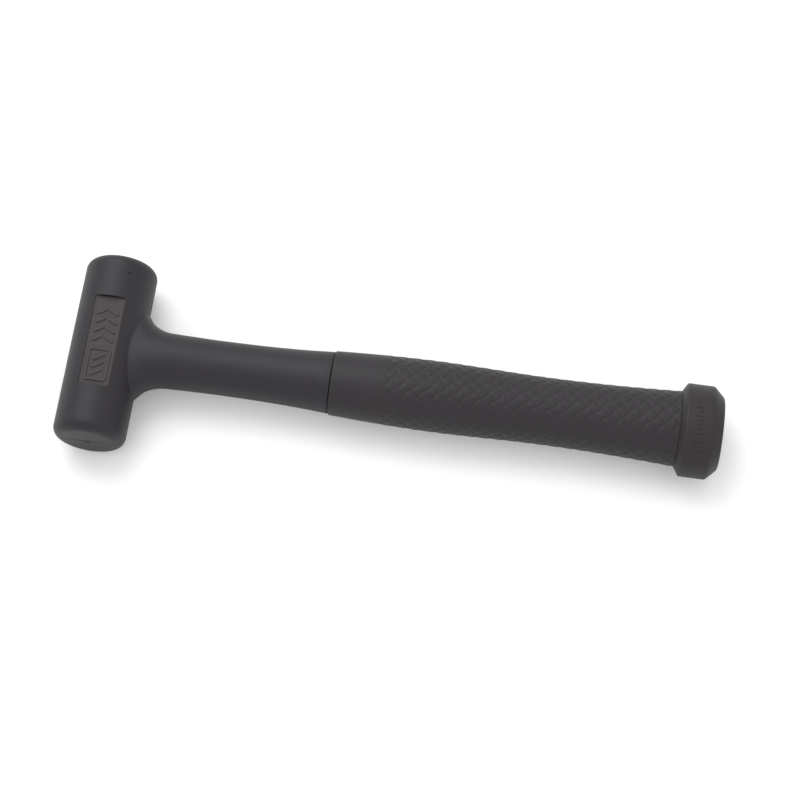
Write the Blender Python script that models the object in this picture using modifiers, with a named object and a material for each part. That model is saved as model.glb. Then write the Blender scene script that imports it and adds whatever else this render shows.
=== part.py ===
"""Dead blow mallet, lying on its side.

A steel canister half full of loose steel shot, and the steel rod that is joined to it, are cast
into one urethane jacket: head, neck, shaft and a slim tang. A textured grip sleeve slides over
the tang and a flared cap closes the butt.

Frame: origin under the middle of the mallet, on the surface that it lies on. +X runs along the
handle from head to butt, +Y along the head from one striking face to the other, +Z up.
Lengths are in metres. Handle stations are distances from the head's axis, measured along +X.
"""
import math

import bmesh
import bpy
from mathutils import Matrix, Vector

# ---------------------------------------------------------------- driving sizes: head
OVERALL_LENGTH = 0.325
HEAD_LENGTH = 0.095
HEAD_RADIUS = 0.018
FACE_FILLET = 0.0051
FACE_THICKNESS = 0.0085
LABEL_HALF_WIDTH = 0.0076
LABEL_HALF_LENGTH = 0.0238
LABEL_DEPTH = 0.0022
PIN_HOLE_RADIUS = 0.0008
PIN_HOLE_FROM_FACE = 0.0101
PIN_HOLE_ANGLE = math.radians(22)

# ---------------------------------------------------------------- driving sizes: neck and shaft
SHAFT_FLATNESS = 0.88
BUTT_FLATNESS = 0.80
NECK_ROOT_FROM_HEAD = 0.0015
NECK_LENGTH = 0.015
NECK_ARC_LENGTH = 0.0145
NECK_ROOT_WIDENING = 0.0065
NECK_END_HALF_WIDTH = 0.0141
WAIST_AT = 0.052
WAIST_HALF_WIDTH = 0.01377
SEAM_AT = 0.1135
SEAM_HALF_WIDTH = 0.01575
SEAM_SLOPE = 0.083

# ---------------------------------------------------------------- driving sizes: grip and cap
GRIP_START_HALF_WIDTH = 0.01625
GRIP_START_SLOPE = 0.057
SWELL_AT = 0.166
SWELL_HALF_WIDTH = 0.018
DIP_AT = 0.220
DIP_HALF_WIDTH = 0.01707
GRIP_END_HALF_WIDTH = 0.01916
GRIP_END_SLOPE = 0.06
TANG_HALF_WIDTH = 0.0125
CAP_LENGTH = 0.0211
CAP_HALF_WIDTH = 0.0238
CAP_FRONT_CHAMFER = 0.0027
CAP_BACK_CHAMFER = 0.0053
CAP_FACE_HALF_WIDTH = 0.0182
CAP_SOCKET_DEPTH = 0.011

# ---------------------------------------------------------------- driving sizes: steel core
JACKET_WALL = 0.0045
CANISTER_WALL = 0.0015
PLUG_FLANGE = 0.0015
PLUG_SPIGOT = 0.0035
PLUG_DISH = 0.0020
SHOT_LAYERS = 7
SOCKET_RADIUS = 0.0080
SOCKET_LENGTH = 0.0165
SOCKET_FLOOR = 0.0028
ROD_RADIUS = 0.00476
ROD_TO_TANG_END = 0.008
ROD_GROOVE_DEPTH = 0.0006
ROD_GROOVE_WIDTH = 0.0024
ROD_GROOVE_PITCH = 0.012
ROD_GROOVES = 6

# ---------------------------------------------------------------- clearances and facets
GAP = 0.0003
SEAM_GAP = 0.0005
PASS_THROUGH = 0.005
MERGE = 0.00001
HEAD_SIDES = 48
HANDLE_SIDES = 40
BORE_SIDES = 32
ROD_SIDES = 16
FILLET_STEPS = 5
SMOOTH_ANGLE = math.radians(35)

# ---------------------------------------------------------------- places that follow from them
HEAD_X = HEAD_RADIUS - OVERALL_LENGTH / 2
AXIS_Z = HEAD_RADIUS
LABEL_FLOOR = HEAD_RADIUS - LABEL_DEPTH
NECK_ROOT_AT = HEAD_RADIUS + NECK_ROOT_FROM_HEAD
NECK_END_AT = HEAD_RADIUS + NECK_LENGTH
CAP_END_AT = OVERALL_LENGTH - HEAD_RADIUS
CAP_START_AT = CAP_END_AT - CAP_LENGTH
GRIP_END_AT = CAP_START_AT - GAP
TANG_END_AT = CAP_START_AT + CAP_SOCKET_DEPTH - GAP
TANG_HALF_DEPTH = TANG_HALF_WIDTH * BUTT_FLATNESS
CAP_HALF_DEPTH = HEAD_RADIUS
CAVITY_RADIUS = HEAD_RADIUS - JACKET_WALL
CAVITY_LENGTH = HEAD_LENGTH - 2 * FACE_THICKNESS
CANISTER_RADIUS = CAVITY_RADIUS - GAP
SOCKET_END_AT = CAVITY_RADIUS + SOCKET_LENGTH
CANISTER_BORE = CANISTER_RADIUS - CANISTER_WALL
TUBE_LENGTH = CAVITY_LENGTH - 2 * (PLUG_FLANGE + 2 * GAP)
SHOT_RADIUS = (CANISTER_BORE - 2 * GAP) / 3
SHOT_PITCH = 2 * SHOT_RADIUS + GAP
SHOT_LAYER_RISE = SHOT_PITCH * math.sqrt(2 / 3)
ROD_START_AT = CAVITY_RADIUS + SOCKET_FLOOR + GAP
ROD_END_AT = TANG_END_AT - ROD_TO_TANG_END
HEAD_CENTRE = Vector((HEAD_X, 0, AXIS_Z))
ALONG_HANDLE = Matrix.Rotation(math.pi / 2, 4, "Y")
ALONG_HEAD = Matrix.Rotation(-math.pi / 2, 4, "X")


def clear_scene():
    """Remove every object, so that the file holds only the mallet."""
    for old in list(bpy.data.objects):
        bpy.data.objects.remove(old, do_unlink=True)


def new_collection(name):
    """A collection linked into the scene."""
    group = bpy.data.collections.new(name)
    bpy.context.scene.collection.children.link(group)
    return group


def new_material(name, colour, roughness, metallic):
    """A Principled BSDF material with one colour."""
    material = bpy.data.materials.new(name)
    material.use_nodes = True
    shader = material.node_tree.nodes["Principled BSDF"]
    shader.inputs["Base Color"].default_value = (*colour, 1)
    shader.inputs["Roughness"].default_value = roughness
    shader.inputs["Metallic"].default_value = metallic
    return material


def add_part(name, mesh, material, matrix, parent=None):
    """Put a mesh in the scene as one named piece of the mallet."""
    part = bpy.data.objects.new(name, mesh)
    PARTS.objects.link(part)
    if not mesh.materials:
        mesh.materials.append(material)
    mesh.shade_smooth()
    mesh.set_sharp_from_angle(angle=SMOOTH_ANGLE)
    if parent:
        part.parent = parent
    part.matrix_world = matrix
    return part


def add_cutter(name, mesh, matrix):
    """Put a mesh in the scene as a tool for Boolean modifiers only."""
    cutter = bpy.data.objects.new(name, mesh)
    CUTTERS.objects.link(cutter)
    cutter.matrix_world = matrix
    cutter.display_type = "WIRE"
    cutter.hide_render = True
    return cutter


def combine(part, tool, operation):
    """Join a tool's shape to a part, or cut it away."""
    step = part.modifiers.new(tool.name, "BOOLEAN")
    step.operation = operation
    step.solver = "EXACT"
    step.object = tool


def mesh_from(bm, name):
    """Turn finished bmesh work into a mesh."""
    mesh = bpy.data.meshes.new(name)
    bm.to_mesh(mesh)
    bm.free()
    return mesh


def drum(name, radius, length, sides):
    """A plain cylinder about Z, centred on the origin."""
    bm = bmesh.new()
    bmesh.ops.create_cone(bm, cap_ends=True, segments=sides, radius1=radius, radius2=radius, depth=length)
    return mesh_from(bm, name)


def block(name, size_x, size_y, size_z):
    """A plain box centred on the origin."""
    bm = bmesh.new()
    bmesh.ops.create_cube(bm, size=1, matrix=Matrix.Diagonal((size_x, size_y, size_z, 1)))
    return mesh_from(bm, name)


def outline_mesh(name, points, closed):
    """A line of (radius, height) points in the XZ plane, ready to be turned about Z."""
    bm = bmesh.new()
    corners = [bm.verts.new((radius, 0, height)) for radius, height in points]
    for first, second in zip(corners, corners[1:]):
        bm.edges.new((first, second))
    if closed:
        bm.edges.new((corners[-1], corners[0]))
    return mesh_from(bm, name)


def turn(part, sides):
    """Sweep a part's outline once round its own Z axis."""
    step = part.modifiers.new("turned", "SCREW")
    step.steps = sides
    step.render_steps = sides
    step.use_merge_vertices = True
    step.merge_threshold = MERGE
    step.use_smooth_shade = True


def oval_bar(name, start, end, half_width, half_depth, rings=(), sides=HANDLE_SIDES):
    """A bar along X with an oval section that two size functions set at every ring.

    X is the distance from the head's axis. It starts as a unit cylinder, is cut into rings and
    then each ring is scaled to its own width in Y and depth in Z.
    """
    bm = bmesh.new()
    middle = Matrix.Translation(((start + end) / 2, 0, 0))
    bmesh.ops.create_cone(
        bm, cap_ends=True, segments=sides, radius1=1, radius2=1, depth=end - start,
        matrix=middle @ ALONG_HANDLE)
    for station in rings:
        everything = bm.verts[:] + bm.edges[:] + bm.faces[:]
        bmesh.ops.bisect_plane(bm, geom=everything, plane_co=(station, 0, 0), plane_no=(1, 0, 0))
    for corner in bm.verts:
        corner.co.y *= half_width(corner.co.x)
        corner.co.z *= half_depth(corner.co.x)
    return mesh_from(bm, name)


def spread(start, end, count):
    """Evenly spaced stations strictly between two ends."""
    return [start + (end - start) * step / (count + 1) for step in range(1, count + 1)]


def ease(at, stations):
    """Read a smooth curve through (place, value, slope) stations."""
    for first, second in zip(stations, stations[1:]):
        if at <= second[0]:
            break
    run = second[0] - first[0]
    t = min(max((at - first[0]) / run, 0), 1)
    rise_part = 3 * t ** 2 - 2 * t ** 3
    start_slope_part = (t ** 3 - 2 * t ** 2 + t) * run
    end_slope_part = (t ** 3 - t ** 2) * run
    value = first[1] + (second[1] - first[1]) * rise_part
    return value + first[2] * start_slope_part + second[2] * end_slope_part


def neck_share(at):
    """How far the neck's hollow curve has opened: 0 on the shaft, 1 where it meets the head."""
    def opening(place):
        along = min(max((NECK_END_AT - place) / NECK_ARC_LENGTH, 0), 1)
        return 1 - math.sqrt(1 - along ** 2)
    return opening(max(at, NECK_ROOT_AT)) / opening(NECK_ROOT_AT)


def flatness(at):
    """Depth over width of the handle's oval, which gets flatter from neck to butt."""
    share = min(max((at - NECK_END_AT) / (CAP_START_AT - NECK_END_AT), 0), 1)
    return SHAFT_FLATNESS + (BUTT_FLATNESS - SHAFT_FLATNESS) * share


def bare_shaft_half_width(at):
    """Half the shaft's width in Y without the neck's flare: a waist, then out to the grip seam."""
    return ease(at, (
        (NECK_END_AT, NECK_END_HALF_WIDTH, 0),
        (WAIST_AT, WAIST_HALF_WIDTH, 0),
        (SEAM_AT, SEAM_HALF_WIDTH, SEAM_SLOPE)))


def shaft_half_width(at):
    """Half the shaft's width in Y. The neck flares only this way, along the head."""
    return bare_shaft_half_width(at) + NECK_ROOT_WIDENING * neck_share(at)


def shaft_half_depth(at):
    """Half the shaft's depth in Z."""
    return bare_shaft_half_width(at) * flatness(at)


def grip_half_width(at):
    """Half the grip's width in Y: palm swell, finger dip, then the flare before the cap."""
    return ease(at, (
        (SEAM_AT, GRIP_START_HALF_WIDTH, GRIP_START_SLOPE),
        (SWELL_AT, SWELL_HALF_WIDTH, 0),
        (DIP_AT, DIP_HALF_WIDTH, 0),
        (CAP_START_AT, GRIP_END_HALF_WIDTH, GRIP_END_SLOPE)))


def grip_half_depth(at):
    """Half the grip's depth in Z."""
    return grip_half_width(at) * flatness(at)


def cap_half_width(at):
    """Half the cap's width in Y: a short flare, a straight band and a chamfer to the end face."""
    band_start = CAP_START_AT + CAP_FRONT_CHAMFER
    band_end = CAP_END_AT - CAP_BACK_CHAMFER
    if at < band_start:
        share = (at - CAP_START_AT) / CAP_FRONT_CHAMFER
        return GRIP_END_HALF_WIDTH + (CAP_HALF_WIDTH - GRIP_END_HALF_WIDTH) * share
    share = max(at - band_end, 0) / CAP_BACK_CHAMFER
    return CAP_HALF_WIDTH + (CAP_FACE_HALF_WIDTH - CAP_HALF_WIDTH) * share


def cap_half_depth(at):
    """Half the cap's depth in Z: it flares from the grip's depth to the head's radius."""
    grip_depth = GRIP_END_HALF_WIDTH * BUTT_FLATNESS
    flare_ratio = (CAP_HALF_DEPTH - grip_depth) / (CAP_HALF_WIDTH - GRIP_END_HALF_WIDTH)
    return CAP_HALF_DEPTH - (CAP_HALF_WIDTH - cap_half_width(at)) * flare_ratio


def steady(size):
    """A size function that is the same everywhere."""
    return lambda at: size


def head_outline():
    """The head's profile from one face centre, round both fillets, to the other."""
    half = HEAD_LENGTH / 2
    corner_radius = HEAD_RADIUS - FACE_FILLET
    corner_height = half - FACE_FILLET
    upper = []
    for step in range(FILLET_STEPS + 1):
        angle = math.pi / 2 * (1 - step / FILLET_STEPS)
        radius = corner_radius + FACE_FILLET * math.cos(angle)
        height = corner_height + FACE_FILLET * math.sin(angle)
        upper.append((radius, height))
    lower = [(radius, -height) for radius, height in reversed(upper)]
    return [(0, half)] + upper + lower + [(0, -half)]


def on_handle():
    """Where the handle's own frame sits: its X is the distance from the head's axis."""
    return Matrix.Translation(HEAD_CENTRE)


def on_head():
    """Where a shape turned about Z sits when its axis is the head's axis."""
    return Matrix.Translation(HEAD_CENTRE) @ ALONG_HEAD


def along_core(at):
    """Where a shape turned about Z sits when its axis is the handle's, at a distance."""
    return Matrix.Translation(HEAD_CENTRE + Vector((at, 0, 0))) @ ALONG_HANDLE


def make_jacket(urethane):
    """The one-piece casting: head, neck, shaft and tang, with the room for the steel core."""
    jacket = add_part("cast_jacket", outline_mesh("cast_jacket", head_outline(), False), urethane, on_head())
    turn(jacket, HEAD_SIDES)

    neck_rings = spread(NECK_ROOT_AT, NECK_END_AT, 6) + [NECK_ROOT_AT, NECK_END_AT]
    shaft_rings = spread(NECK_END_AT, SEAM_AT, 7)
    shaft = oval_bar(
        "shaft", CAVITY_RADIUS / 2, SEAM_AT, shaft_half_width, shaft_half_depth, neck_rings + shaft_rings)
    combine(jacket, add_cutter("shaft", shaft, on_handle()), "UNION")

    tang = oval_bar(
        "tang", SEAM_AT - PASS_THROUGH, TANG_END_AT,
        steady(TANG_HALF_WIDTH), steady(TANG_HALF_DEPTH))
    combine(jacket, add_cutter("tang", tang, on_handle()), "UNION")

    cavity = drum("canister_room", CAVITY_RADIUS, CAVITY_LENGTH, HEAD_SIDES)
    combine(jacket, add_cutter("canister_room", cavity, on_head()), "DIFFERENCE")

    socket_reach = SOCKET_END_AT + GAP
    socket_room = drum("socket_room", SOCKET_RADIUS + GAP, socket_reach, BORE_SIDES)
    combine(jacket, add_cutter("socket_room", socket_room, along_core(socket_reach / 2)), "DIFFERENCE")

    rod_reach = ROD_END_AT + GAP
    rod_room = drum("rod_room", ROD_RADIUS + GAP, rod_reach, ROD_SIDES)
    combine(jacket, add_cutter("rod_room", rod_room, along_core(rod_reach / 2)), "DIFFERENCE")

    label = block("label_recess", 2 * LABEL_HALF_WIDTH, 2 * LABEL_HALF_LENGTH, HEAD_RADIUS)
    label_lift = LABEL_FLOOR + HEAD_RADIUS / 2
    label_place = Matrix.Translation(HEAD_CENTRE + Vector((0, 0, label_lift)))
    combine(jacket, add_cutter("label_recess", label, label_place), "DIFFERENCE")

    pin = drum("pin_hole", PIN_HOLE_RADIUS, HEAD_RADIUS, 8)
    outward = Matrix.Rotation(PIN_HOLE_ANGLE, 4, "Y")
    pin_y = HEAD_LENGTH / 2 - PIN_HOLE_FROM_FACE
    pin_place = Matrix.Translation(HEAD_CENTRE + Vector((0, pin_y, 0))) @ outward
    pin_place = pin_place @ Matrix.Translation((0, 0, HEAD_RADIUS))
    combine(jacket, add_cutter("pin_hole", pin, pin_place), "DIFFERENCE")
    return jacket


def make_grip(rubber):
    """The sleeve that slides over the tang from the butt end."""
    start = SEAM_AT + SEAM_GAP
    outside = oval_bar(
        "grip_sleeve", start, GRIP_END_AT, grip_half_width, grip_half_depth, spread(start, GRIP_END_AT, 14))
    grip = add_part("grip_sleeve", outside, rubber, on_handle())
    tang_room = oval_bar(
        "tang_room", start - PASS_THROUGH, GRIP_END_AT + PASS_THROUGH,
        steady(TANG_HALF_WIDTH + GAP), steady(TANG_HALF_DEPTH + GAP))
    combine(grip, add_cutter("tang_room", tang_room, on_handle()), "DIFFERENCE")


def make_cap(rubber):
    """The flared cap, with a socket for the end of the tang."""
    rings = [CAP_START_AT + CAP_FRONT_CHAMFER, CAP_END_AT - CAP_BACK_CHAMFER]
    outside = oval_bar("butt_cap", CAP_START_AT, CAP_END_AT, cap_half_width, cap_half_depth, rings)
    cap = add_part("butt_cap", outside, rubber, on_handle())
    tang_socket = oval_bar(
        "tang_socket", CAP_START_AT - PASS_THROUGH, CAP_START_AT + CAP_SOCKET_DEPTH,
        steady(TANG_HALF_WIDTH + GAP), steady(TANG_HALF_DEPTH + GAP))
    combine(cap, add_cutter("tang_socket", tang_socket, on_handle()), "DIFFERENCE")


def make_canister(steel):
    """The tube that holds the shot, and the plug that closes each end of it."""
    half = TUBE_LENGTH / 2
    wall = [(CANISTER_RADIUS, half), (CANISTER_RADIUS, -half), (CANISTER_BORE, -half), (CANISTER_BORE, half)]
    tube = add_part("shot_canister", outline_mesh("shot_canister", wall, True), steel, on_head())
    turn(tube, HEAD_SIDES)

    flange_seat = half + GAP
    spigot = CANISTER_BORE - GAP
    dish = spigot - CANISTER_WALL
    plug_profile = [
        (0, flange_seat + PLUG_FLANGE),
        (CANISTER_RADIUS, flange_seat + PLUG_FLANGE),
        (CANISTER_RADIUS, flange_seat),
        (spigot, flange_seat),
        (spigot, flange_seat - PLUG_SPIGOT),
        (dish, flange_seat - PLUG_SPIGOT),
        (dish, flange_seat - PLUG_SPIGOT + PLUG_DISH),
        (0, flange_seat - PLUG_SPIGOT + PLUG_DISH)]
    turned_over = Matrix.Rotation(math.pi, 4, "X")
    for name, facing in (("canister_plug_a", Matrix.Identity(4)), ("canister_plug_b", turned_over)):
        plug = add_part(name, outline_mesh(name, plug_profile, False), steel, on_head() @ facing)
        turn(plug, HEAD_SIDES)


def make_socket(steel):
    """The boss welded to the canister's side, saddle-cut to it and bored for the rod."""
    length = SOCKET_END_AT
    boss = add_part(
        "core_socket", drum("core_socket", SOCKET_RADIUS, length, BORE_SIDES), steel, along_core(length / 2))
    saddle = drum("saddle", CANISTER_RADIUS + GAP, HEAD_LENGTH, HEAD_SIDES)
    combine(boss, add_cutter("saddle", saddle, on_head()), "DIFFERENCE")
    bore_start = ROD_START_AT - GAP
    bore_end = SOCKET_END_AT + PASS_THROUGH
    bore = drum("socket_bore", ROD_RADIUS + GAP, bore_end - bore_start, ROD_SIDES)
    combine(boss, add_cutter("socket_bore", bore, along_core((bore_start + bore_end) / 2)), "DIFFERENCE")


def make_rod(steel):
    """The handle's core, with turned grooves near the butt that lock it in the casting."""
    length = ROD_END_AT - ROD_START_AT
    floor = ROD_RADIUS - ROD_GROOVE_DEPTH
    profile = [(0, length), (ROD_RADIUS, length)]
    for groove in range(ROD_GROOVES):
        middle = length - ROD_GROOVE_PITCH * (groove + 1)
        profile += [
            (ROD_RADIUS, middle + ROD_GROOVE_WIDTH / 2),
            (floor, middle + ROD_GROOVE_WIDTH / 4),
            (floor, middle - ROD_GROOVE_WIDTH / 4),
            (ROD_RADIUS, middle - ROD_GROOVE_WIDTH / 2)]
    profile += [(ROD_RADIUS, 0), (0, 0)]
    rod = add_part("core_rod", outline_mesh("core_rod", profile, False), steel, along_core(ROD_START_AT))
    turn(rod, ROD_SIDES)


def shot_places():
    """Ball centres about the head's centre: layers of seven with three nested between them."""
    nest = SHOT_PITCH / math.sqrt(3)
    first = -SHOT_LAYER_RISE * (SHOT_LAYERS - 1) / 2
    places = []
    for layer in range(SHOT_LAYERS):
        along = first + layer * SHOT_LAYER_RISE
        if layer % 2 == 0:
            places.append((0, along, 0))
            places += [
                (SHOT_PITCH * math.cos(turn_by), along, SHOT_PITCH * math.sin(turn_by))
                for turn_by in (math.radians(60 * step) for step in range(6))]
        else:
            places += [
                (nest * math.cos(turn_by), along, nest * math.sin(turn_by))
                for turn_by in (math.radians(120 * step + 30) for step in range(3))]
    return places


def make_shot(steel):
    """The loose balls. They slide as one charge along the head's axis, which their empty sits on."""
    charge = bpy.data.objects.new("shot_charge", None)
    PARTS.objects.link(charge)
    charge.location = HEAD_CENTRE
    bpy.context.view_layer.update()
    bpy.ops.mesh.primitive_ico_sphere_add(subdivisions=2, radius=SHOT_RADIUS)
    first_ball = bpy.context.object
    ball_mesh = first_ball.data
    bpy.data.objects.remove(first_ball)
    ball_mesh.name = "shot"
    for number, place in enumerate(shot_places(), start=1):
        centre = Matrix.Translation(HEAD_CENTRE + Vector(place))
        add_part(f"shot_{number:02d}", ball_mesh, steel, centre, parent=charge)


clear_scene()
PARTS = new_collection("dead_blow_mallet")
CUTTERS = new_collection("cutters")
make_jacket(new_material("jacket_urethane", (0.042, 0.041, 0.045), 0.48, 0))
make_grip(new_material("grip_rubber", (0.045, 0.043, 0.046), 0.58, 0))
make_cap(new_material("cap_rubber", (0.044, 0.042, 0.045), 0.55, 0))
make_canister(new_material("canister_steel", (0.42, 0.42, 0.44), 0.38, 1))
make_socket(new_material("socket_steel", (0.40, 0.39, 0.40), 0.45, 1))
make_rod(new_material("rod_steel", (0.36, 0.36, 0.38), 0.35, 1))
make_shot(new_material("shot_steel", (0.50, 0.49, 0.50), 0.30, 1))
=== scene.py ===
# %% [markdown]
# # A dead blow mallet, lying on its side
# The real tool is a steel canister, part full of loose steel shot, with a steel rod fixed to it.
# Soft black urethane is cast round both, which makes head, neck and shaft one piece. A sleeve with
# a woven relief is the grip, and a flared cap closes the butt.
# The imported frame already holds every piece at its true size. This lesson builds the skin that
# shows, piece by piece, and gives each one a finish. Nothing in the frame is moved.

# %% Load the frame
import math

import bmesh
import bpy
from mathutils import Matrix, Vector


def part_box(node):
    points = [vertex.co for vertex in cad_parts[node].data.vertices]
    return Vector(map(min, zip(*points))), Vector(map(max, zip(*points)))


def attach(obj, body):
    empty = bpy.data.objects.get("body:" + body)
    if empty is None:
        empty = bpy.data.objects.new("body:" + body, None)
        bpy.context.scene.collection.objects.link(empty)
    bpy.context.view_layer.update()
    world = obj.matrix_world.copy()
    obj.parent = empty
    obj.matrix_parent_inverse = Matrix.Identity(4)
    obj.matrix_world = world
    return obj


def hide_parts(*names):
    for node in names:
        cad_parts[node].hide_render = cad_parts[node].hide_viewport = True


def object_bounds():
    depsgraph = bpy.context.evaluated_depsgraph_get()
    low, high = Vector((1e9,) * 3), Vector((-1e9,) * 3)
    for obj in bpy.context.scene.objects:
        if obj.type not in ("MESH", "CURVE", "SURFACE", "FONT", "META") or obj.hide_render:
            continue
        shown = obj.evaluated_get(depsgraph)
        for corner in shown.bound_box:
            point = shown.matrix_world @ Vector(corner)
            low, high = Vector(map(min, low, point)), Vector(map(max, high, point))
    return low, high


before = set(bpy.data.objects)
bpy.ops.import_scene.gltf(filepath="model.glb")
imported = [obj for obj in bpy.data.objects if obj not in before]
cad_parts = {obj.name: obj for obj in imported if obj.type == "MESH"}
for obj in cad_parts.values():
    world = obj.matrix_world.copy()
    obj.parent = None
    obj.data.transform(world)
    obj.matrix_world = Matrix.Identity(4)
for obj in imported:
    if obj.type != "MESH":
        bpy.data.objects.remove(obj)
CAD_LOW, CAD_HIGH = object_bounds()

print("nodes:", len(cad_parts), "box:", [round(v, 4) for v in (*CAD_LOW, *CAD_HIGH)])

# %% [markdown]
# ## Sizes come from the frame
# A head is round, so half its height is its radius, and its axis stands one radius above the
# surface and one radius in from the left end. The shaft and the grip are ovals that change size
# along the handle. Typing their sizes again would let the skin drift away from the solid, so they
# are read from the rings of the frame's own meshes.

# %% Where the head and the handle are
jacket_low, jacket_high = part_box("cast_jacket")
grip_low, grip_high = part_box("grip_sleeve")
cap_low, cap_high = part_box("butt_cap")
HEAD_RADIUS = (jacket_high.z - jacket_low.z) / 2
HEAD_X = jacket_low.x + HEAD_RADIUS
AXIS_Z = jacket_low.z + HEAD_RADIUS
HEAD_HALF_LENGTH = jacket_high.y
HEAD_CENTRE = Vector((HEAD_X, 0, AXIS_Z))
print("head radius", round(HEAD_RADIUS, 4), "half length", round(HEAD_HALF_LENGTH, 4))


# %% Read the rings of a node's outer skin
def outer_rings(node, low, high, least_width):
    """(x, half width, half depth) for every ring of a node's outer skin between two places."""
    rings = {}
    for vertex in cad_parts[node].data.vertices:
        if low <= vertex.co.x <= high:
            place = round(vertex.co.x, 5)
            wide, deep = rings.get(place, (0, 0))
            rings[place] = (max(wide, abs(vertex.co.y)), max(deep, abs(vertex.co.z - AXIS_Z)))
    return [(x, *rings[x]) for x in sorted(rings) if rings[x][0] > least_width]


HAIR = 0.0001
BORE_WIDTH = 0.0128
NECK_START = HEAD_X + HEAD_RADIUS + 10 * HAIR
shaft_rings = outer_rings("cast_jacket", NECK_START, grip_low.x, BORE_WIDTH)
grip_rings = outer_rings("grip_sleeve", grip_low.x - HAIR, grip_high.x + HAIR, BORE_WIDTH)
cap_rings = outer_rings("butt_cap", cap_low.x - HAIR, cap_high.x + HAIR, BORE_WIDTH)
print("rings:", len(shaft_rings), "shaft,", len(grip_rings), "grip,", len(cap_rings), "cap")


# %% A smooth curve through stations
def smooth_through(stations):
    """A function of x that passes smoothly through (x, value) stations and stays level outside."""
    def slope(index):
        before = stations[max(index - 1, 0)]
        after = stations[min(index + 1, len(stations) - 1)]
        return (after[1] - before[1]) / (after[0] - before[0])

    def value_at(x):
        if x <= stations[0][0]:
            return stations[0][1]
        if x >= stations[-1][0]:
            return stations[-1][1]
        index = max(i for i, station in enumerate(stations) if station[0] <= x)
        (x0, y0), (x1, y1) = stations[index], stations[index + 1]
        run = x1 - x0
        t = (x - x0) / run
        rise = 3 * t ** 2 - 2 * t ** 3
        start = (t ** 3 - 2 * t ** 2 + t) * run * slope(index)
        end = (t ** 3 - t ** 2) * run * slope(index + 1)
        return y0 + (y1 - y0) * rise + start + end

    return value_at


root_x, root_width, root_depth = shaft_rings[0]
HEAD_SIDE_X = HEAD_X + HEAD_RADIUS
FLARE = ((HEAD_SIDE_X - 0.0014, 0.0036), (HEAD_SIDE_X - 0.0004, 0.0024), (HEAD_SIDE_X + 0.0006, 0.0011))
flare_rings = [(x, root_width + more, root_depth) for x, more in FLARE]
shaft_width = smooth_through([(x, wide) for x, wide, deep in flare_rings + shaft_rings])
shaft_depth = smooth_through([(x, deep) for x, wide, deep in shaft_rings])
grip_width = smooth_through([(x, wide) for x, wide, deep in grip_rings])
grip_depth = smooth_through([(x, deep) for x, wide, deep in grip_rings])
print("waist", round(min(wide for x, wide, deep in shaft_rings) * 2000, 1), "mm wide")

# %% [markdown]
# ## Working by hand, in code
# Every piece starts as a primitive and is shaped in edit mode, as it would be with a mouse. An
# operator acts on all that is selected, so each step first clears the selection and then picks
# vertices, edges or faces by where they are.


# %% Selection helpers
def pick_only(piece):
    """Leave one object selected and active."""
    for other in list(bpy.context.selected_objects):
        other.select_set(False)
    piece.select_set(True)
    bpy.context.view_layer.objects.active = piece


def open_mesh(piece, kind="VERT"):
    """Go into edit mode on one object with nothing selected."""
    pick_only(piece)
    bpy.ops.object.mode_set(mode="EDIT")
    bpy.ops.mesh.select_mode(type=kind)
    bpy.ops.mesh.select_all(action="DESELECT")


def close_mesh():
    """Go back to object mode."""
    bpy.ops.object.mode_set(mode="OBJECT")


def pick_vertices(piece, test):
    """Select the vertices whose place passes a test, with the edges and faces between them."""
    bpy.ops.mesh.select_all(action="DESELECT")
    shape = bmesh.from_edit_mesh(piece.data)
    for vertex in shape.verts:
        vertex.select_set(test(vertex.co))
    shape.select_flush_mode()
    bmesh.update_edit_mesh(piece.data)


def pick_edges(piece, test):
    """Select the edges whose two ends pass a test."""
    bpy.ops.mesh.select_all(action="DESELECT")
    shape = bmesh.from_edit_mesh(piece.data)
    for edge in shape.edges:
        if test(edge.verts[0].co, edge.verts[1].co):
            edge.select_set(True)
    bmesh.update_edit_mesh(piece.data)


def pick_faces(piece, test):
    """Select the faces whose centre and normal pass a test."""
    bpy.ops.mesh.select_all(action="DESELECT")
    shape = bmesh.from_edit_mesh(piece.data)
    for face in shape.faces:
        if test(face.calc_center_median(), face.normal):
            face.select_set(True)
    bmesh.update_edit_mesh(piece.data)


# %% Helpers that start and finish a piece
def settle(piece):
    """Put the piece's place, turn and scale into its mesh."""
    pick_only(piece)
    bpy.ops.object.transform_apply(location=True, rotation=True, scale=True)


def apply_boolean(piece, tool, operation):
    """Join a tool's shape to the piece, or cut it away, and remove the tool."""
    pick_only(piece)
    step = piece.modifiers.new(operation.lower(), "BOOLEAN")
    step.operation = operation
    step.solver = "EXACT"
    step.object = tool
    bpy.ops.object.modifier_apply(modifier=step.name)
    bpy.data.objects.remove(tool)


def add_drum(name, radius, length, centre, axis, sides):
    """A cylinder along one axis, with its place already in its mesh."""
    turns = {"X": (0, math.pi / 2, 0), "Y": (math.pi / 2, 0, 0), "Z": (0, 0, 0)}
    bpy.ops.mesh.primitive_cylinder_add(
        vertices=sides, radius=radius, depth=length, location=centre, rotation=turns[axis])
    drum = bpy.context.object
    drum.name = name
    settle(drum)
    return drum


def slice_across(piece, axis, places):
    """Cut new edge loops through a piece, square to one axis."""
    normal = {"X": (1, 0, 0), "Y": (0, 1, 0), "Z": (0, 0, 1)}[axis]
    open_mesh(piece)
    for place in places:
        bpy.ops.mesh.select_all(action="SELECT")
        bpy.ops.mesh.bisect(plane_co=[place * part for part in normal], plane_no=normal)
    close_mesh()


def steps_between(start, end, count):
    """Evenly spaced places strictly between two ends."""
    return [start + (end - start) * step / (count + 1) for step in range(1, count + 1)]


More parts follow.
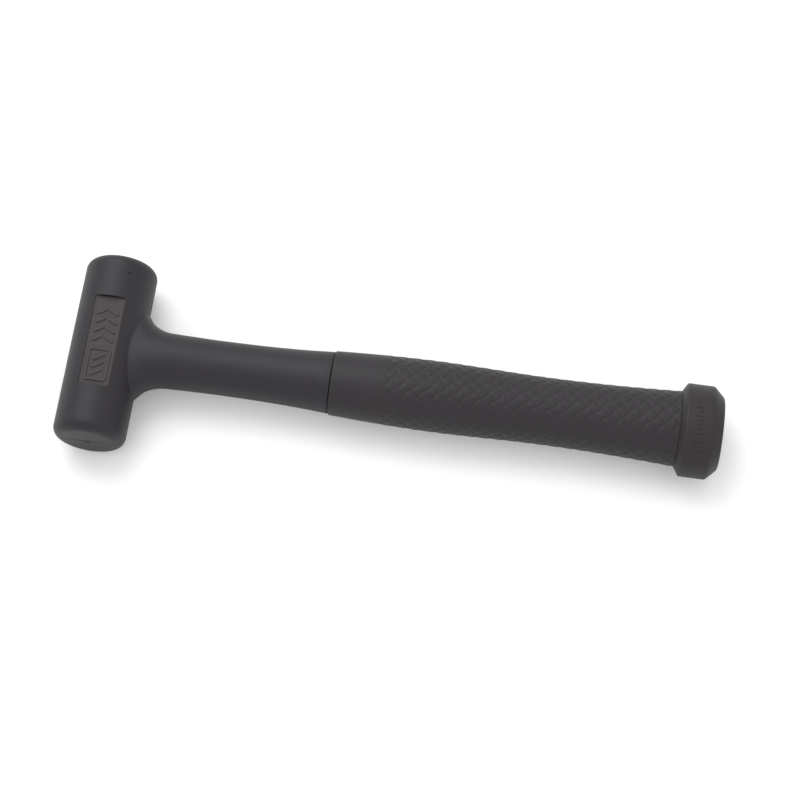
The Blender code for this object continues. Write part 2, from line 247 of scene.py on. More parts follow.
# %% [markdown]
# ## The head
# The striking head is a plain round bar of urethane with a big soft radius at both ends. A lathe
# profile would do, but a cylinder whose two rims are bevelled is the shape a maker would call it,
# and the flat faces stay perfectly flat. The size of the radius is read from the frame: the flat
# face is as wide as the widest ring on the end plane.

# %% Shape the head
flat_radius = max(
    math.hypot(vertex.co.x - HEAD_X, vertex.co.z - AXIS_Z)
    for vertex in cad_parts["cast_jacket"].data.vertices
    if vertex.co.y > HEAD_HALF_LENGTH - HAIR / 10)
FACE_FILLET = HEAD_RADIUS - flat_radius
HEAD_SIDES = 128
jacket = add_drum("jacket", HEAD_RADIUS, 2 * HEAD_HALF_LENGTH, HEAD_CENTRE, "Y", HEAD_SIDES)
open_mesh(jacket, "EDGE")
pick_edges(jacket, lambda a, b: abs(a.y - b.y) < HAIR and abs(abs(a.y) - HEAD_HALF_LENGTH) < HAIR)
bpy.ops.mesh.bevel(offset=FACE_FILLET, segments=10, profile=0.5, affect="EDGES")
pick_faces(jacket, lambda centre, normal: abs(normal.y) > 0.999)
bpy.ops.mesh.inset(thickness=flat_radius * 0.06, depth=0)
close_mesh()
slice_across(jacket, "Y", steps_between(-HEAD_HALF_LENGTH + FACE_FILLET,
                                        HEAD_HALF_LENGTH - FACE_FILLET, 23))
print("end radius", round(FACE_FILLET * 1000, 2), "mm, faces", len(jacket.data.polygons))

# %% [markdown]
# ## The shaft and the tang
# The handle's core is one oval bar that flares into the head as a neck, thins to a waist, and
# widens to a shoulder where the grip starts. Behind the shoulder a thinner tang runs inside the
# grip. It could be swept along a path, but its section changes all the way. So it starts as a
# round bar of radius one, is sliced into rings, and each ring is scaled to its place's size.

# %% A helper that gives each ring its own width and depth
def fit_rings(piece, width_at, depth_at):
    """Scale every ring of a bar of radius one along X to the width and depth of its place."""
    open_mesh(piece)
    places = sorted({round(vertex.co.x, 6) for vertex in bmesh.from_edit_mesh(piece.data).verts})
    for place in places:
        pick_vertices(piece, lambda co: abs(co.x - place) < HAIR / 20)
        bpy.ops.transform.resize(
            value=(1, width_at(place), depth_at(place)), center_override=(place, 0, AXIS_Z))
    close_mesh()


def add_unit_bar(name, start, end, ring_places, sides):
    """A bar of radius one along X, sliced into rings, ready for fit_rings."""
    bar = add_drum(name, 1, end - start, ((start + end) / 2, 0, AXIS_Z), "X", sides)
    slice_across(bar, "X", ring_places)
    return bar


# %% Shape the shaft and the tang
SEAM_CLOSED_BY = 0.0002
SHOULDER_X = shaft_rings[-1][0] + SEAM_CLOSED_BY
tang_rings = outer_rings("cast_jacket", grip_low.x + 10 * HAIR, jacket_high.x + HAIR, 0.001)
TANG_WIDTH = max(wide for x, wide, deep in tang_rings)
TANG_DEPTH = max(deep for x, wide, deep in tang_rings)
TANG_END = jacket_high.x
flare_places = steps_between(flare_rings[0][0], root_x, 9)
neck_places = steps_between(root_x, root_x + 0.016, 14)
waist_places = steps_between(neck_places[-1], SHOULDER_X, 22)
shaft = add_unit_bar(
    "shaft", HEAD_X + HEAD_RADIUS * 0.35, SHOULDER_X,
    [flare_rings[0][0], *flare_places, root_x, *neck_places, *waist_places], 128)
fit_rings(shaft, shaft_width, shaft_depth)
open_mesh(shaft, "FACE")
pick_faces(shaft, lambda centre, normal: normal.x > 0.99 and centre.x > SHOULDER_X - HAIR)
bpy.ops.mesh.extrude_region_move(TRANSFORM_OT_translate={"value": (0, 0, 0)})
shoulder_size = (shaft_width(SHOULDER_X), shaft_depth(SHOULDER_X))
bpy.ops.transform.resize(
    value=(1, TANG_WIDTH / shoulder_size[0], TANG_DEPTH / shoulder_size[1]),
    center_override=(SHOULDER_X, 0, AXIS_Z))
bpy.ops.mesh.extrude_region_move(
    TRANSFORM_OT_translate={"value": (TANG_END - SHOULDER_X, 0, 0)})
bpy.ops.mesh.select_mode(type="EDGE")
pick_edges(shaft, lambda a, b: min(a.x, b.x) > SHOULDER_X - HAIR and abs(a.x - b.x) < HAIR / 10
           and math.hypot(a.y / shoulder_size[0], (a.z - AXIS_Z) / shoulder_size[1]) > 0.98)
bpy.ops.mesh.bevel(offset=0.0003, segments=4, profile=0.5, affect="EDGES")
pick_edges(shaft, lambda a, b: min(a.x, b.x) > TANG_END - HAIR)
bpy.ops.mesh.bevel(offset=0.0012, segments=3, profile=0.5, affect="EDGES")
close_mesh()
print("tang", round(TANG_WIDTH * 2000, 1), "x", round(TANG_DEPTH * 2000, 1), "mm")

# %% Join head and shaft
apply_boolean(jacket, shaft, "UNION")
print("head and shaft:", len(jacket.data.polygons), "faces")

# %% Soften the crease where the neck meets the head
CREASE_ROUND = 0.0005
open_mesh(jacket)


def in_crease(co):
    """Whether a place is on the head's round side where the neck grows out of it."""
    from_axis = math.hypot(co.x - HEAD_X, co.z - AXIS_Z)
    return co.x > HEAD_X + HEAD_RADIUS * 0.4 and abs(from_axis - HEAD_RADIUS) < HAIR and (
        abs(co.y) < shaft_rings[0][1] + 2 * HAIR)


def pick_crease():
    """Select the sharp inner edges where the neck meets the head."""
    bpy.ops.mesh.select_all(action="DESELECT")
    shape = bmesh.from_edit_mesh(jacket.data)
    for edge in shape.edges:
        if all(in_crease(vertex.co) for vertex in edge.verts) and len(edge.link_faces) == 2:
            if edge.calc_face_angle() > math.radians(20):
                edge.select_set(True)
    bmesh.update_edit_mesh(jacket.data)


pick_crease()
bpy.ops.mesh.select_mode(type="VERT")
bpy.ops.mesh.remove_doubles(threshold=0.00035)
bpy.ops.mesh.select_mode(type="EDGE")
pick_crease()
crease_count = sum(edge.select for edge in bmesh.from_edit_mesh(jacket.data).edges)
bpy.ops.mesh.bevel(offset=CREASE_ROUND, segments=4, profile=0.5, affect="EDGES",
                   clamp_overlap=False, loop_slide=True)
close_mesh()
print("crease:", crease_count, "edges rounded")

# %% [markdown]
# ## The parting line
# Two half moulds meet on the mallet's middle plane, and leave a hair-fine line all round it, over
# both striking faces and along both sides of the shaft. It could be a dark stripe in the
# material, but a cut catches light on one lip and shade on the other. So the skin is sliced on
# that plane, the new loop is bevelled to a strip, and the strip's middle is pushed in.


# %% Cut the parting line
def cut_parting_line(piece, half_width, depth, end_x):
    """Slice a piece on the middle plane and press a fine groove along the cut, as far as end_x."""
    slice_across(piece, "Z", [AXIS_Z])
    open_mesh(piece, "EDGE")
    pick_edges(piece, lambda a, b: max(abs(a.z - AXIS_Z), abs(b.z - AXIS_Z)) < HAIR / 50
               and max(a.x, b.x) < end_x)
    bpy.ops.mesh.bevel(offset=half_width, segments=2, profile=0.5, affect="EDGES")
    bpy.ops.mesh.select_mode(type="VERT")
    pick_vertices(piece, lambda co: abs(co.z - AXIS_Z) < HAIR / 50 and co.x < end_x)
    bpy.ops.transform.shrink_fatten(value=-depth, use_even_offset=True)
    close_mesh()


LINE_HALF_WIDTH = 0.00022
LINE_DEPTH = 0.0003
cut_parting_line(jacket, LINE_HALF_WIDTH, LINE_DEPTH, SHOULDER_X + HAIR / 10)
print("parting line cut,", len(jacket.data.polygons), "faces")

# %% [markdown]
# ## The recess on top of the head
# A flat-bottomed pocket runs along the head's top, where a maker would put a mark. It is cut
# with a box whose upright edges are rounded, as a mould plug would leave them. On its floor
# stands a plain relief of a rim, chevrons and slanting bars, which means nothing.

# %% Read the recess from the frame
recess_corners = [
    vertex.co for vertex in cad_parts["cast_jacket"].data.vertices
    if AXIS_Z + HEAD_RADIUS * 0.86 < vertex.co.z < AXIS_Z + HEAD_RADIUS * 0.89
    and abs(vertex.co.y) < HEAD_HALF_LENGTH * 0.6 and abs(vertex.co.x - HEAD_X) < HEAD_RADIUS / 2]
RECESS_HALF_WIDTH = max(abs(corner.x - HEAD_X) for corner in recess_corners)
RECESS_HALF_LENGTH = max(abs(corner.y) for corner in recess_corners)
RECESS_FLOOR_Z = recess_corners[0].z
print("recess", round(RECESS_HALF_WIDTH * 2000, 1), "x", round(RECESS_HALF_LENGTH * 2000, 1),
      "mm, floor", round((RECESS_FLOOR_Z - AXIS_Z) * 1000, 1), "mm above the axis")


# %% A helper that makes a flat plate with rounded corners
def add_plate(name, centre, half_size, height, corner_radius):
    """An upright-sided plate standing on z = centre.z, with its four upright edges rounded."""
    bpy.ops.mesh.primitive_cube_add(size=1, location=(centre.x, centre.y, centre.z + height / 2))
    plate = bpy.context.object
    plate.name = name
    plate.scale = (2 * half_size[0], 2 * half_size[1], height)
    settle(plate)
    open_mesh(plate, "EDGE")
    pick_edges(plate, lambda a, b: abs(a.z - b.z) > height * 0.9)
    bpy.ops.mesh.bevel(offset=corner_radius, segments=5, profile=0.5, affect="EDGES")
    close_mesh()
    return plate


# %% Cut the recess
recess_centre = Vector((HEAD_X, 0, RECESS_FLOOR_Z))
recess_tool = add_plate(
    "recess_tool", recess_centre, (RECESS_HALF_WIDTH, RECESS_HALF_LENGTH), 0.006, 0.0008)
apply_boolean(jacket, recess_tool, "DIFFERENCE")
print("recess cut,", len(jacket.data.polygons), "faces")

# %% Raise a plain relief on the recess floor
RELIEF_HEIGHT = 0.00060
RELIEF_SINK = 0.0004
BAR_HALF_WIDTH = 0.00078
RIM_HALF_SIZE = (0.0056, 0.0086)
RIM_WIDTH = 0.0010
RIM_Y = -0.0126


def add_relief_bar(place, angle, length):
    """One raised bar on the recess floor, with softened top edges."""
    bar = add_plate("relief_bar", Vector((0, 0, -RELIEF_SINK)), (length / 2, BAR_HALF_WIDTH),
                    RELIEF_SINK + RELIEF_HEIGHT, BAR_HALF_WIDTH * 0.6)
    open_mesh(bar, "EDGE")
    pick_edges(bar, lambda a, b: min(a.z, b.z) > RELIEF_HEIGHT * 0.9)
    bpy.ops.mesh.bevel(offset=0.00014, segments=2, profile=0.5, affect="EDGES")
    close_mesh()
    bar.rotation_euler = (0, 0, angle)
    bar.location = (recess_centre.x + place[0], recess_centre.y + place[1], RECESS_FLOOR_Z)
    settle(bar)
    return bar


rim = add_plate("relief_rim", recess_centre + Vector((0, RIM_Y, -RELIEF_SINK)), RIM_HALF_SIZE,
                RELIEF_SINK + RELIEF_HEIGHT, 0.0016)
rim_inside = add_plate(
    "rim_inside", recess_centre + Vector((0, RIM_Y, -2 * RELIEF_SINK)),
    [half - RIM_WIDTH for half in RIM_HALF_SIZE], 4 * RELIEF_SINK + RELIEF_HEIGHT, 0.0008)
apply_boolean(rim, rim_inside, "DIFFERENCE")
relief_parts = [rim]
for step in range(-1, 2):
    relief_parts.append(add_relief_bar((0, RIM_Y + step * 0.0040), math.radians(32), 0.0066))
for chevron_y in (0.0012, 0.0060, 0.0108, 0.0156):
    for side in (-1, 1):
        relief_parts.append(add_relief_bar(
            (side * 0.0030, chevron_y), side * math.radians(-32), 0.0056))
for part in relief_parts:
    apply_boolean(jacket, part, "UNION")
print("relief parts:", len(relief_parts), "faces now", len(jacket.data.polygons))

# %% [markdown]
# ## Openings and the hollow inside
# The core is held in the mould by a pin, and the pin leaves a small round hole near one face. A
# shallow dimple in the middle of the other face is where the urethane ran in. Inside, the
# casting fits round the canister, the socket and the rod, so the skin is hollowed for them.

# %% Drill and hollow the casting
PIN_HOLE_RADIUS = 0.0007
PIN_HOLE_DEPTH = 0.0005
PIN_HOLE_Y = HEAD_HALF_LENGTH - 0.0101
PIN_HOLE_ANGLE = math.radians(22)
CLEARANCE = 0.0003
canister_low, canister_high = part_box("shot_canister")
plug_low, plug_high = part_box("canister_plug_a")
socket_low, socket_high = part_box("core_socket")
rod_low, rod_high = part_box("core_rod")
CAVITY_RADIUS = canister_high.x - HEAD_X + CLEARANCE
CAVITY_HALF_LENGTH = plug_high.y + CLEARANCE
ROD_RADIUS = rod_high.y

cavity_tool = add_drum(
    "cavity_tool", CAVITY_RADIUS, 2 * CAVITY_HALF_LENGTH, HEAD_CENTRE, "Y", 96)
apply_boolean(jacket, cavity_tool, "DIFFERENCE")
pocket_start = HEAD_X + CAVITY_RADIUS * 0.8
for opening_radius, opening_end in (
        (socket_high.y + CLEARANCE, socket_high.x + CLEARANCE),
        (ROD_RADIUS + CLEARANCE, TANG_END + 10 * HAIR)):
    opening_tool = add_drum(
        "opening_tool", opening_radius, opening_end - pocket_start,
        ((pocket_start + opening_end) / 2, 0, AXIS_Z), "X", 48)
    apply_boolean(jacket, opening_tool, "DIFFERENCE")

pin_outward = Vector((math.sin(PIN_HOLE_ANGLE), 0, math.cos(PIN_HOLE_ANGLE)))
pin_tool = add_drum("pin_tool", PIN_HOLE_RADIUS, 0.002, (0, 0, 0), "Z", 24)
pin_tool.rotation_euler = (0, PIN_HOLE_ANGLE, 0)
pin_tool.location = (HEAD_CENTRE + pin_outward * (HEAD_RADIUS + 0.001 - PIN_HOLE_DEPTH)
                     + Vector((0, PIN_HOLE_Y, 0)))
settle(pin_tool)
apply_boolean(jacket, pin_tool, "DIFFERENCE")
gate_tool = add_drum(
    "gate_tool", 0.0016, 0.001, (HEAD_X, -HEAD_HALF_LENGTH - 0.00025, AXIS_Z), "Y", 32)
apply_boolean(jacket, gate_tool, "DIFFERENCE")
print("hollowed,", len(jacket.data.polygons), "faces")

# %% Finish the jacket
SMOOTH_ANGLE = math.radians(32)


def finish_piece(piece):
    """Merge doubles, point the faces outwards and smooth the shading."""
    open_mesh(piece)
    bpy.ops.mesh.select_all(action="SELECT")
    bpy.ops.mesh.remove_doubles(threshold=0.000004)
    bpy.ops.mesh.dissolve_degenerate(threshold=0.000004)
    bpy.ops.mesh.select_all(action="DESELECT")
    bpy.ops.mesh.select_mode(type="EDGE")
    bpy.ops.mesh.select_non_manifold(use_wire=False, use_multi_face=False,
                                     use_non_contiguous=False, use_verts=False)
    if sum(edge.select for edge in bmesh.from_edit_mesh(piece.data).edges):
        bpy.ops.mesh.fill()
    bpy.ops.mesh.select_all(action="SELECT")
    bpy.ops.mesh.dissolve_degenerate(threshold=0.000004)
    bpy.ops.mesh.normals_make_consistent(inside=False)
    close_mesh()
    pick_only(piece)
    bpy.ops.object.shade_smooth_by_angle(angle=SMOOTH_ANGLE)


finish_piece(jacket)
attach(jacket, "mallet")
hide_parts("cast_jacket")

# %% [markdown]
# ## The grip's weave
# The grip is a rubber sleeve moulded with a plain weave set at 45 degrees: each strand passes
# over one neighbour and under the next. A bump texture would vanish at the silhouette, so the
# weave is real relief. Only one pair of crossings is modelled, flat. Two arrays repeat it, a bend
# closes the sheet to a tube, and a lattice squeezes the round tube to the handle's oval.

# %% Model one pair of crossings
CROSSINGS_AROUND = 15
ROUND_RADIUS = (grip_width(grip_high.x) + grip_depth(grip_low.x)) / 2
PITCH = 2 * math.pi * ROUND_RADIUS / CROSSINGS_AROUND
CELL = PITCH / math.sqrt(2)
CREVICE = 0.00024
INNER_HALF = CELL / 2 - CREVICE
STRAND_HEIGHT = 0.00030

bpy.ops.mesh.primitive_grid_add(
    x_subdivisions=2, y_subdivisions=1, size=CELL, location=(CELL / 2, 0, 0))
weave = bpy.context.object
weave.name = "grip_weave"
weave.scale = (2, 1, 1)
settle(weave)
open_mesh(weave, "FACE")
bpy.ops.mesh.select_all(action="SELECT")
bpy.ops.mesh.inset(thickness=CREVICE, use_individual=True)
close_mesh()
strand_steps = [step * INNER_HALF / 2 for step in (-1, 0, 1)]
slice_across(weave, "X", [*strand_steps, *(CELL + step for step in strand_steps)])
slice_across(weave, "Y", strand_steps)
print("one pair of crossings:", len(weave.data.polygons), "faces, pitch", round(PITCH * 1000, 2))

# %% Raise the strands
open_mesh(weave)
levels = (0, INNER_HALF / 2, INNER_HALF)
for centre_x, runs_along_x in ((0, True), (CELL, False)):
    for along in levels:
        for across in levels:
            far_x, far_y = (along, across) if runs_along_x else (across, along)
            rise = max(math.cos(math.pi / 2 * along / INNER_HALF), 0) ** 0.40
            crown = 1 - 0.12 * (across / INNER_HALF) ** 2
            pick_vertices(weave, lambda co: abs(abs(co.x - centre_x) - far_x) < HAIR / 5
                          and abs(abs(co.y) - far_y) < HAIR / 5)
            bpy.ops.transform.translate(value=(0, 0, STRAND_HEIGHT * (0.10 + 0.90 * rise * crown)))
close_mesh()
print("strand height", STRAND_HEIGHT * 1000, "mm")

# %% Repeat it into a sheet
WEAVE_START = grip_low.x + 0.0262
WEAVE_END = grip_high.x + SEAM_CLOSED_BY
weave.rotation_euler = (0, 0, math.radians(45))
settle(weave)
rows_along = math.ceil((WEAVE_END - WEAVE_START) / PITCH) + 3
for axis, count in ((0, rows_along), (1, CROSSINGS_AROUND)):
    repeat = weave.modifiers.new("repeat", "ARRAY")
    repeat.count = count
    repeat.use_relative_offset = False
    repeat.use_constant_offset = True
    repeat.constant_offset_displace = [PITCH if side == axis else 0 for side in range(3)]
    pick_only(weave)
    bpy.ops.object.modifier_apply(modifier=repeat.name)
open_mesh(weave)
bpy.ops.mesh.select_all(action="SELECT")
bpy.ops.mesh.remove_doubles(threshold=0.00001)
close_mesh()
print("sheet:", rows_along, "x", CROSSINGS_AROUND, "tiles,", len(weave.data.polygons), "faces")

# %% Bend the sheet to a tube
sheet_low = min(vertex.co.y for vertex in weave.data.vertices)
sheet_high = max(vertex.co.y for vertex in weave.data.vertices)
weave.location = (0, -(sheet_low + sheet_high) / 2, 0)
settle(weave)
weave.rotation_euler = (math.pi / 2, 0, 0)
settle(weave)
bend = weave.modifiers.new("bend", "SIMPLE_DEFORM")
bend.deform_method = "BEND"
bend.deform_axis = "X"
bend.angle = 2 * math.pi * (sheet_high - sheet_low) / (CROSSINGS_AROUND * PITCH)
pick_only(weave)
bpy.ops.object.modifier_apply(modifier=bend.name)
open_mesh(weave)
bpy.ops.mesh.select_all(action="SELECT")
bpy.ops.mesh.remove_doubles(threshold=0.00002)
close_mesh()
print("tube radius", round(ROUND_RADIUS * 1000, 2), "mm")

# %% Cut the tube to length
weave_low = min(vertex.co.x for vertex in weave.data.vertices)
weave.location = (WEAVE_START - 1.5 * PITCH - weave_low, -ROUND_RADIUS, AXIS_Z)
settle(weave)
softer = weave.modifiers.new("softer", "SUBSURF")
softer.levels = softer.render_levels = 1
pick_only(weave)
bpy.ops.object.modifier_apply(modifier=softer.name)
open_mesh(weave)
for place, facing in ((WEAVE_START, -1), (WEAVE_END, 1)):
    bpy.ops.mesh.select_all(action="SELECT")
    bpy.ops.mesh.bisect(plane_co=(place, 0, 0), plane_no=(facing, 0, 0), clear_outer=True)
close_mesh()
print("weave:", len(weave.data.polygons), "faces")


# %% Squeeze the round tube to the oval handle
def squeeze_to_grip(piece, round_radius, stations):
    """Fit a round tube to the grip's widths and depths with a lattice of many slices."""
    low, high = grip_low.x - 0.004, grip_high.x + 0.004
    bpy.ops.object.add(type="LATTICE", location=((low + high) / 2, 0, AXIS_Z))
    cage = bpy.context.object
    cage.scale = (high - low, 4 * round_radius, 4 * round_radius)
    cage.data.points_u, cage.data.points_v, cage.data.points_w = stations, 2, 2
    cage.data.interpolation_type_u = cage.data.interpolation_type_v = "KEY_LINEAR"
    cage.data.interpolation_type_w = "KEY_LINEAR"
    for point in cage.data.points:
        x = (low + high) / 2 + point.co.x * (high - low)
        point.co_deform.y *= grip_width(x) / round_radius
        point.co_deform.z *= grip_depth(x) / round_radius
    squeeze = piece.modifiers.new("squeeze", "LATTICE")
    squeeze.object = cage
    pick_only(piece)
    bpy.ops.object.modifier_apply(modifier=squeeze.name)
    bpy.data.objects.remove(cage)


WEAVE_RISE = 0.00008
squeeze_to_grip(weave, ROUND_RADIUS + STRAND_HEIGHT - WEAVE_RISE, 48)
print("squeezed, half width now",
      round(max(vertex.co.y for vertex in weave.data.vertices) * 1000, 2), "mm")

# %% [markdown]
# ## The grip's smooth collar and bore
# In front of the weave the sleeve is smooth, with a rounded lip that stands just proud of the
# shaft. The sleeve is open inside for the tang. Collar and bore are two more open tubes; joining
# them to the weave edge to edge gives one closed wall.

# %% Add the collar and the bore
COLLAR_END = WEAVE_START - 0.0016
LIP_ROUND = 0.0006
bpy.ops.mesh.primitive_cylinder_add(
    vertices=96, radius=1, depth=COLLAR_END - grip_low.x, end_fill_type="NOTHING",
    location=((COLLAR_END + grip_low.x) / 2, 0, AXIS_Z), rotation=(0, math.pi / 2, 0))
collar = bpy.context.object
settle(collar)
slice_across(collar, "X", steps_between(grip_low.x, COLLAR_END, 12))
fit_rings(collar, grip_width, grip_depth)
bpy.ops.mesh.primitive_cylinder_add(
    vertices=96, radius=1, depth=WEAVE_END - grip_low.x, end_fill_type="NOTHING",
    location=((WEAVE_END + grip_low.x) / 2, 0, AXIS_Z), rotation=(0, math.pi / 2, 0))
bore = bpy.context.object
settle(bore)
fit_rings(bore, lambda x: TANG_WIDTH + CLEARANCE, lambda x: TANG_DEPTH + CLEARANCE)
open_mesh(bore)
bpy.ops.mesh.select_all(action="SELECT")
bpy.ops.mesh.flip_normals()
close_mesh()
print("collar", round((COLLAR_END - grip_low.x) * 1000, 1), "mm long")


# %% Join them into one wall
def bridge_open_ends(piece, place):
    """Bridge the open edge loops that end at one place along X."""
    bpy.ops.mesh.select_all(action="DESELECT")
    shape = bmesh.from_edit_mesh(piece.data)
    for edge in shape.edges:
        if edge.is_boundary and all(place(vertex.co) for vertex in edge.verts):
            edge.select_set(True)
    bmesh.update_edit_mesh(piece.data)
    bpy.ops.mesh.bridge_edge_loops()


grip = weave
grip.name = "grip"
pick_only(grip)
collar.select_set(True)
bore.select_set(True)
bpy.ops.object.join()
open_mesh(grip, "EDGE")
bridge_open_ends(grip, lambda co: co.x < grip_low.x + HAIR)
bridge_open_ends(grip, lambda co: co.x > grip_high.x - HAIR)
bridge_open_ends(grip, lambda co: COLLAR_END - HAIR < co.x < WEAVE_START + HAIR)
bpy.ops.mesh.select_mode(type="EDGE")
pick_edges(grip, lambda a, b: max(a.x, b.x) < grip_low.x + HAIR
           and min(math.hypot(p.y / grip_width(p.x), (p.z - AXIS_Z) / grip_depth(p.x))
                   for p in (a, b)) > 0.99)
bpy.ops.mesh.bevel(offset=LIP_ROUND, segments=5, profile=0.5, affect="EDGES")
shape = bmesh.from_edit_mesh(grip.data)
print("open edges left:", sum(edge.is_boundary for edge in shape.edges))
close_mesh()
finish_piece(grip)
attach(grip, "mallet")
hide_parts("grip_sleeve")
print("grip:", len(grip.data.polygons), "faces")

# %% [markdown]
# ## The butt cap
# The cap is a flared oval plug: a short slope up from the grip, a straight band and a longer
# slope down to a flat end. It is a bar scaled ring by ring like the shaft, and the four corners
# where the slopes meet are rounded, because a mould has no knife edges.

# %% Shape the cap
cap_width = {round(x, 6): wide for x, wide, deep in cap_rings}
cap_depth = {round(x, 6): deep for x, wide, deep in cap_rings}
cap_places = [x for x, wide, deep in cap_rings]


def nearest(table, x):
    """The entry of a table of places that lies nearest to x."""
    return table[min(table, key=lambda place: abs(place - x))]


cap = add_unit_bar("cap", cap_low.x, cap_high.x, cap_places[1:-1], 128)
fit_rings(cap, lambda x: nearest(cap_width, x), lambda x: nearest(cap_depth, x))
open_mesh(cap, "EDGE")
CAP_ROUNDS = (0.0003, 0.0006, 0.0009, 0.0008)
for place, corner_round in zip(cap_places, CAP_ROUNDS):
    pick_edges(cap, lambda a, b: max(abs(a.x - place), abs(b.x - place)) < HAIR / 10)
    bpy.ops.mesh.bevel(offset=corner_round, segments=6, profile=0.5, affect="EDGES")
close_mesh()
print("cap corners rounded,", len(cap.data.polygons), "faces")

# %% Give the cap its socket and its parting line
cut_parting_line(cap, LINE_HALF_WIDTH * 0.7, LINE_DEPTH * 0.6, cap_high.x + HAIR)
socket_tool = add_unit_bar("socket_tool", cap_low.x - 0.002, TANG_END + CLEARANCE, [], 96)
fit_rings(socket_tool, lambda x: TANG_WIDTH + CLEARANCE, lambda x: TANG_DEPTH + CLEARANCE)
apply_boolean(cap, socket_tool, "DIFFERENCE")

# %% Engrave a plain row of ticks in the cap's band
TICK_DEPTH = 0.00018
TICK_HALF_WIDTH = 0.00028
band_x = (cap_places[1] + cap_places[2]) / 2
band_width, band_depth = cap_width[round(cap_places[1], 6)], cap_depth[round(cap_places[1], 6)]
for step in range(-5, 6):
    turn = math.radians(-14 + 5.5 * step)
    outward = Vector((0, math.sin(turn) / band_width, math.cos(turn) / band_depth)).normalized()
    half_length = 0.0022 if step % 2 else 0.0012
    tick = add_plate("tick", Vector((0, 0, -TICK_DEPTH)), (half_length, TICK_HALF_WIDTH), 0.001,
                     TICK_HALF_WIDTH * 0.8)
    tick.rotation_euler = (-math.atan2(outward.y, outward.z), 0, 0)
    tick.location = (band_x, band_width * math.sin(turn), AXIS_Z + band_depth * math.cos(turn))
    settle(tick)
    apply_boolean(cap, tick, "DIFFERENCE")
print("ticks engraved, cap faces:", len(cap.data.polygons))

# %% Finish the cap
finish_piece(cap)
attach(cap, "mallet")
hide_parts("butt_cap")
print("cap:", len(cap.data.polygons), "faces")

# %% [markdown]
# ## Finishes
# All three outer pieces are soft plastics, black but never as dark as paint: the skin is
# slightly milky, finely pebbled by the mould, and marked by faint flow clouds and specks of dust.
# One group holds that skin, so that each material only says how coarse and how dusty it is. It
# puts out a colour, a roughness and a height; the shader stays in each material.


# %% A helper for node work
def add_node(tree, kind, place, **settings):
    """Add a node to a tree, and set its properties and the values of its inputs."""
    node = tree.nodes.new(kind)
    node.location = place
    for name, value in settings.items():
        if hasattr(node, name):
            setattr(node, name, value)
        else:
            node.inputs[name.replace("_", " ")].default_value = value
    return node


